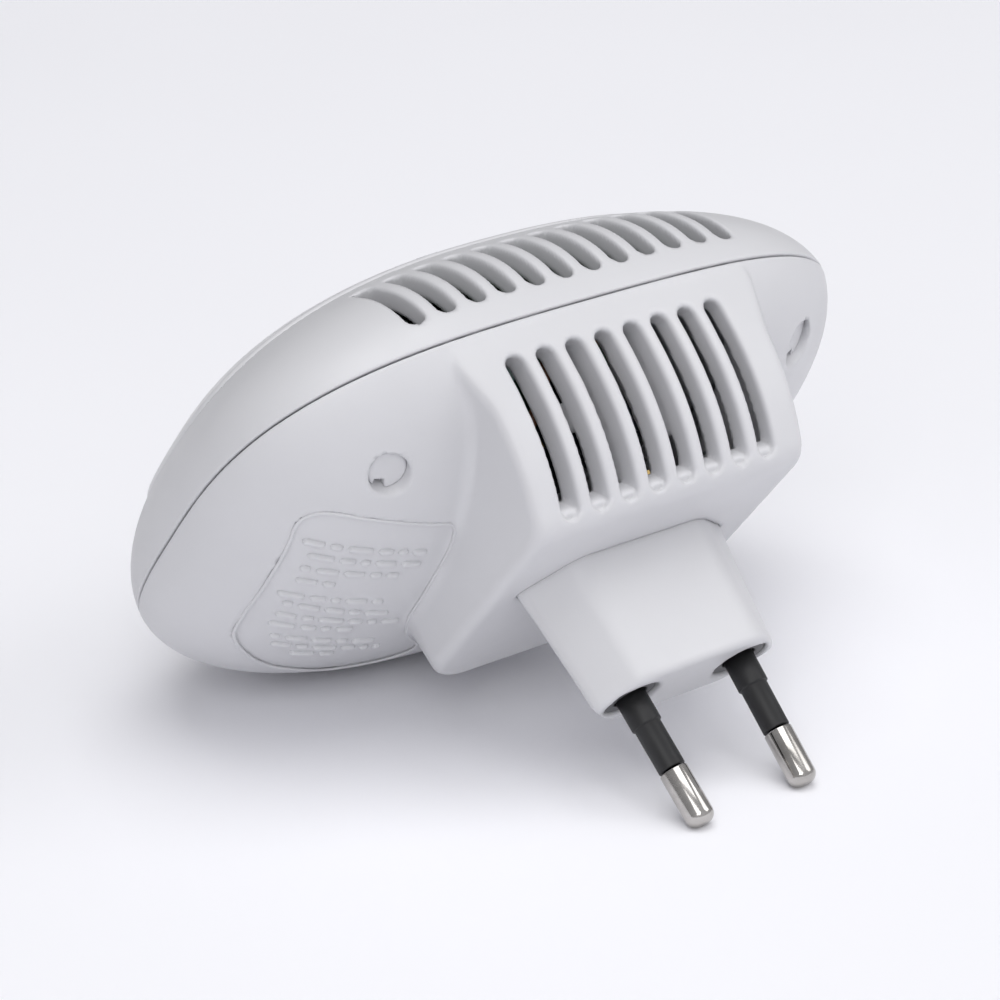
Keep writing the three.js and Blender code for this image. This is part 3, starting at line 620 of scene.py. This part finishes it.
CASING = moulded("casing_satin", (0.63, 0.63, 0.65), 0.42)
MATERIALS = {
    "casing_plastic": CASING,
    "plate_plastic": moulded("plate_gloss", (0.67, 0.67, 0.69), 0.3, spread=0.008),
    "plug_plastic": moulded("plug_satin", (0.62, 0.62, 0.64), 0.40),
    "nickel": brushed_nickel("pin_nickel"),
    "black_plastic": moulded("sleeve_black", (0.008, 0.008, 0.009), 0.5, spread=0.2),
    "seat_plastic": moulded("seat_grey", (0.075, 0.075, 0.08), 0.5, spread=0.12),
    "brass": metal("terminal_brass", (0.55, 0.38, 0.14), (0.68, 0.5, 0.22), 0.3),
    "screw_steel": metal("screw_zinc", (0.45, 0.46, 0.48), (0.6, 0.61, 0.63), 0.33),
    "lens_clear": moulded("lens_milky", (0.75, 0.77, 0.80), 0.14, spread=0.03),
    "led_epoxy": moulded("led_tint", (0.35, 0.62, 0.33), 0.15, spread=0.06),
    "board_green": moulded("board_mask", (0.012, 0.095, 0.032), 0.34, 700, 0.00003, 0.2),
    "film_yellow": moulded("film_box", (0.16, 0.10, 0.02), 0.35, 900, 0.00003, 0.06),
    "can_black": moulded("can_sleeve", (0.014, 0.018, 0.028), 0.3, 700, 0.00002, 0.2),
    "ferrite": moulded("ferrite_grey", (0.03, 0.03, 0.032), 0.6, 3000, 0.00006, 0.25),
    "copper_enamel": banded("winding_copper", (0.30, 0.10, 0.03), (0.62, 0.26, 0.10), 0.3,
                            900, 1.0),
    "chip_epoxy": moulded("chip_black", (0.013, 0.013, 0.014), 0.5, 2500, 0.00003, 0.2),
    "resistor_blue": banded("resistor_paint", (0.20, 0.42, 0.44), (0.36, 0.50, 0.46), 0.4, 130),
    "resistor_brown": banded("fuse_paint", (0.26, 0.13, 0.06), (0.34, 0.2, 0.1), 0.4, 160),
    "cone_aluminium": metal("cone_sheet", (0.5, 0.51, 0.53), (0.62, 0.63, 0.65), 0.3, 200),
    "ring_rubber": moulded("gasket_rubber", (0.022, 0.022, 0.023), 0.7, 1500, 0.00005, 0.2),
    "wire_brown": moulded("insulation_brown", (0.13, 0.045, 0.018), 0.42, spread=0.12),
    "wire_blue": moulded("insulation_blue", (0.02, 0.075, 0.32), 0.42, spread=0.1),
    "wire_red": moulded("insulation_red", (0.42, 0.018, 0.014), 0.42, spread=0.1),
    "wire_black": moulded("insulation_black", (0.012, 0.012, 0.013), 0.42, spread=0.2),
}


def paint_cad_nodes():
    """Every CAD node that stays takes the material of its slot in the record."""
    for part in frame["record"]["subparts"]:
        node = frame["nodes"][part["node"]]
        node.data.materials.clear()
        node.data.materials.append(MATERIALS[part["material_slot"]])


# ---- build --------------------------------------------------------------------------------------

def build_casing():
    seam_fine = [(SEAM - 1.1, SEAM + 1.1, 0.16)]
    oval = [axis(-53.5, 53.5, CELL), axis(-54.5, 26.7, CELL)]
    front_axes = oval + [axis(-70.4, SEAM + 3.0, CELL, seam_fine)]
    back_axes = oval + [axis(-49.8, -17.6, CELL, seam_fine)]
    field_piece("front_shell", front_shell, front_axes, "casing_plastic")
    field_piece("back_shell", back_shell, back_axes, "casing_plastic")
    plate_axes = [axis(-47.5, 47.5, 0.5), axis(-40.3, 12.3, 0.5), axis(-71, -46, 0.4)]
    field_piece("front_plate", front_plate, plate_axes, "plate_plastic")
    plug_axes = [axis(-18.9, 18.9, 0.36), axis(-7.7, 7.7, 0.36), axis(-22.3, 1.1, 0.36)]
    field_piece("plug_body", plug_body, plug_axes, "plug_plastic")
    for label, side in SIDES:
        middle = (WELL_X[side], WELL_Y)
        axes = [axis(at - 3.4, at + 3.4, 0.2) for at in middle] + [axis(-42, -30, 0.2)]
        field_piece(f"screw_cap_{label}", screw_cap(side), axes, "casing_plastic", 2.0)


def build_pins():
    for label, side in SIDES:
        pin = [(0, -30), (1.2, -30), (1.2, 10.8)] + arc(1.75, 11.05, 0.25, -90, 0, 4)
        pin += arc(0.6, 17.6, 1.4, 0, 90, 10) + [(0, 19)]
        sleeve = [(1.5, -3), (2.15, -3)] + arc(1.97, 3.82, 0.18, 0, 80, 4) + [(1.9, 4.15)]
        sleeve += arc(1.75, 10.45, 0.15, 0, 90, 4) + [(1.5, 10.6), (1.5, -3)]
        seat = [(2.45, -3), (3.9, -3)] + arc(3.65, -0.65, 0.25, 0, 90, 4)
        seat += arc(2.65, -0.6, 0.2, 90, 180, 4) + [(2.45, -3)]
        for name, outline, slot in ((f"pin_{label}", pin, "nickel"),
                                    (f"pin_sleeve_{label}", sleeve, "black_plastic"),
                                    (f"pin_seat_{label}", seat, "seat_plastic")):
            vertices, faces = lathe(outline, side)
            weld(make_piece("shaped_" + name, vertices, faces, MATERIALS[slot], slot, [name]))


def back_dome(x, y, z):
    return dome(BACK, x, y, z)


def surface_points(field, xy, start=-20.0, stop=-46.0):
    """The surface of a field above points of the x-y plane."""
    xy = np.asarray(xy, float)
    low, high = np.full(len(xy), stop), np.full(len(xy), start)
    for _ in range(26):
        middle = (low + high) / 2
        outside = field(xy[:, 0], xy[:, 1], middle) > 0
        high, low = np.where(outside, middle, high), np.where(outside, low, middle)
    points = np.column_stack([xy, low])
    return points, gradients(field, points)


# The bead's cross-section, in half widths and heights.
BEAD = [(-1, -1), (-1, 0.1), (-0.8, 0.7), (-0.35, 1), (0.35, 1), (0.8, 0.7), (1, 0.1), (1, -1)]


def end_share(points, i, half_width):
    """How far the bead narrows towards its round ends at one of its points."""
    gap = min(np.linalg.norm(points[i] - points[end]) for end in (0, -1))
    return math.sqrt(max(1 - (1 - min(gap / half_width, 1)) ** 2, 0.02))


def bead_faces(n, m, closed):
    """Faces of n cross-sections of m points, with caps where the bead is open."""
    faces = []
    for i in range(n if closed else n - 1):
        low, high = i * m, (i + 1) % n * m
        for j in range(m):
            k = (j + 1) % m
            faces.append((low + j, low + k, high + k, high + j))
    if not closed:
        faces.append(tuple(range(m)))
        faces.append(tuple(range((n - 1) * m, n * m))[::-1])
    return faces


def raised_line(name, xy, half_width, height, sink, closed):
    """A low rounded bead that follows the casing's surface along a line."""
    points, normals = surface_points(back_dome, xy)
    if closed:
        along = np.roll(points, -1, 0) - np.roll(points, 1, 0)
    else:
        along = np.gradient(points, axis=0)
    across = np.cross(along, normals)
    across /= np.linalg.norm(across, axis=1, keepdims=True)
    rows = []
    for i, point in enumerate(points):
        end = 1.0 if closed else end_share(points, i, half_width)
        for u, v in BEAD:
            lift = height * v * (end if v > 0 else 1) - (sink if v > 0 else 0)
            rows.append(point + across[i] * u * half_width * end + normals[i] * lift)
    faces = bead_faces(len(points), len(BEAD), closed)
    weld(make_piece(name, np.array(rows), faces, CASING, "casing_plastic"), 1e-8)


def resampled(line, spacing):
    """Evenly spaced points along a closed line."""
    closed = np.vstack([line, line[:1]])
    length = np.concatenate([[0], np.cumsum(np.linalg.norm(np.diff(closed, axis=0), axis=1))])
    marks = np.linspace(0, length[-1], int(length[-1] / spacing), endpoint=False)
    return np.column_stack([np.interp(marks, length, closed[:, d]) for d in (0, 1)])


# Where each row of the label starts and ends, in x and y.
LABEL_ROWS = [
    ((-42.3, -0.2), (-25.2, -1.8)), ((-41.1, -2.8), (-23.8, -4.4)),
    ((-41.3, -5.6), (-27.8, -6.5)), ((-41.1, -8.4), (-35.3, -8.8)),
    ((-42.3, -12.1), (-27.8, -13.2)), ((-40.9, -14.4), (-25.4, -16.8)),
    ((-40.9, -17.5), (-23.2, -19.4)), ((-40.9, -20.3), (-29.3, -21.0)),
    ((-39.6, -23.7), (-23.0, -25.5)), ((-38.7, -26.1), (-22.5, -27.9)),
    ((-35.2, -29.0), (-28.5, -29.3))]
DASHES = [2.9, 1.7, 3.6, 2.2, 1.4, 3.1]
DASH_GAP = 0.65
DASH_STEPS = np.array([0, 0.06, 0.16, 0.35, 0.65, 0.84, 0.94, 1])[:, None]


def dashes(start, end, first):
    """Splits one row of the label into plain bars of uneven length."""
    start, end = np.array(start), np.array(end)
    length = np.linalg.norm(end - start)
    at = 0.0
    while at < length - 1.0:
        reach = min(DASHES[first % len(DASHES)], length - at)
        yield start + (end - start) * at / length, start + (end - start) * (at + reach) / length
        at += reach + DASH_GAP
        first += 1


def build_label():
    raised_line("label_rim", resampled(LABEL_LINE, 0.7), 0.25, 0.16, 0.0, True)
    for i, (row_start, row_end) in enumerate(LABEL_ROWS):
        for j, (start, end) in enumerate(dashes(row_start, row_end, 2 * i)):
            line = start + (end - start) * DASH_STEPS
            raised_line(f"label_bar_{i}_{j}", line, 0.52, 0.5, 0.33, False)


def build_stage():
    mesh = bpy.data.meshes.new("floor")
    size = 6.0
    corners = [(-size, -size, 0), (size, -size, 0), (size, size, 0), (-size, size, 0)]
    mesh.from_pydata(corners, [], [(0, 1, 2, 3)])
    paper = Nodes("floor_paper", 0.7, specular=0.2)
    paper.colours(paper.noise(6, 2), (0.93, 0.93, 0.965), (0.945, 0.945, 0.98))
    mesh.materials.append(paper.material)
    floor = bpy.data.objects.new("floor", mesh)
    bpy.context.scene.collection.objects.link(floor)


def area_light(name, place, target, size, energy):
    lamp = bpy.data.lights.new(name, "AREA")
    lamp.shape = "RECTANGLE"
    lamp.size = lamp.size_y = size
    lamp.energy = energy
    holder = bpy.data.objects.new(name, lamp)
    bpy.context.scene.collection.objects.link(holder)
    holder.location = place
    holder.rotation_mode = "QUATERNION"
    holder.rotation_quaternion = (Vector(target) - Vector(place)).to_track_quat("-Z", "Y")


def build_world():
    """A soft studio surround that is brighter on the side the pins point to."""
    world = bpy.data.worlds.new("studio")
    world.use_nodes = True
    tree = world.node_tree
    background = tree.nodes["Background"]
    background.inputs["Strength"].default_value = 0.5
    ramp = tree.nodes.new("ShaderNodeValToRGB")
    for element, (position, level) in zip(ramp.color_ramp.elements, ((0.0, 0.4), (1.0, 1.2))):
        element.position = position
        element.color = (0.97 * level, 0.97 * level, level, 1)
    place = tree.nodes.new("ShaderNodeTexCoord")
    split = tree.nodes.new("ShaderNodeSeparateXYZ")
    rise = tree.nodes.new("ShaderNodeMapRange")
    rise.inputs["From Min"].default_value = -0.8
    rise.inputs["From Max"].default_value = 0.8
    tree.links.new(place.outputs["Generated"], split.inputs["Vector"])
    tree.links.new(split.outputs["Y"], rise.inputs["Value"])
    tree.links.new(rise.outputs["Result"], ramp.inputs["Fac"])
    tree.links.new(ramp.outputs["Color"], background.inputs["Color"])
    bpy.context.scene.world = world


def build_lights():
    bpy.context.scene.view_settings.view_transform = "Standard"
    centre = (0, 0, 0.03)
    area_light("overhead", (0.1, 0.3, 2.3), centre, 1.7, 25)
    area_light("front_left", (1.3, 1.6, 1.5), centre, 1.2, 14)
    area_light("front_right", (-1.5, 1.2, 1.5), centre, 1.2, 9)


CAMERA_PLACE = (0.25536, 0.34348, 0.20979)
CAMERA_FORWARD = (-0.5391, -0.7476, -0.3878)
CAMERA_RIGHT = (-0.8036, 0.5945, -0.0290)
CAMERA_LENS = 121.95


def build_camera():
    forward = Vector(CAMERA_FORWARD).normalized()
    up = Vector(CAMERA_RIGHT).normalized().cross(forward).normalized()
    right = forward.cross(up).normalized()
    data = bpy.data.cameras.new("camera")
    data.sensor_width = 36.0
    data.lens = CAMERA_LENS
    data.clip_start, data.clip_end = 0.01, 50
    camera = bpy.data.objects.new("camera", data)
    bpy.context.scene.collection.objects.link(camera)
    turn = Matrix((right, up, -forward)).transposed().to_4x4()
    camera.matrix_world = Matrix.Translation(CAMERA_PLACE) @ turn
    bpy.context.scene.camera = camera


build_camera()
build_stage()
build_world()
build_lights()
paint_cad_nodes()
build_casing()
build_pins()
build_label()
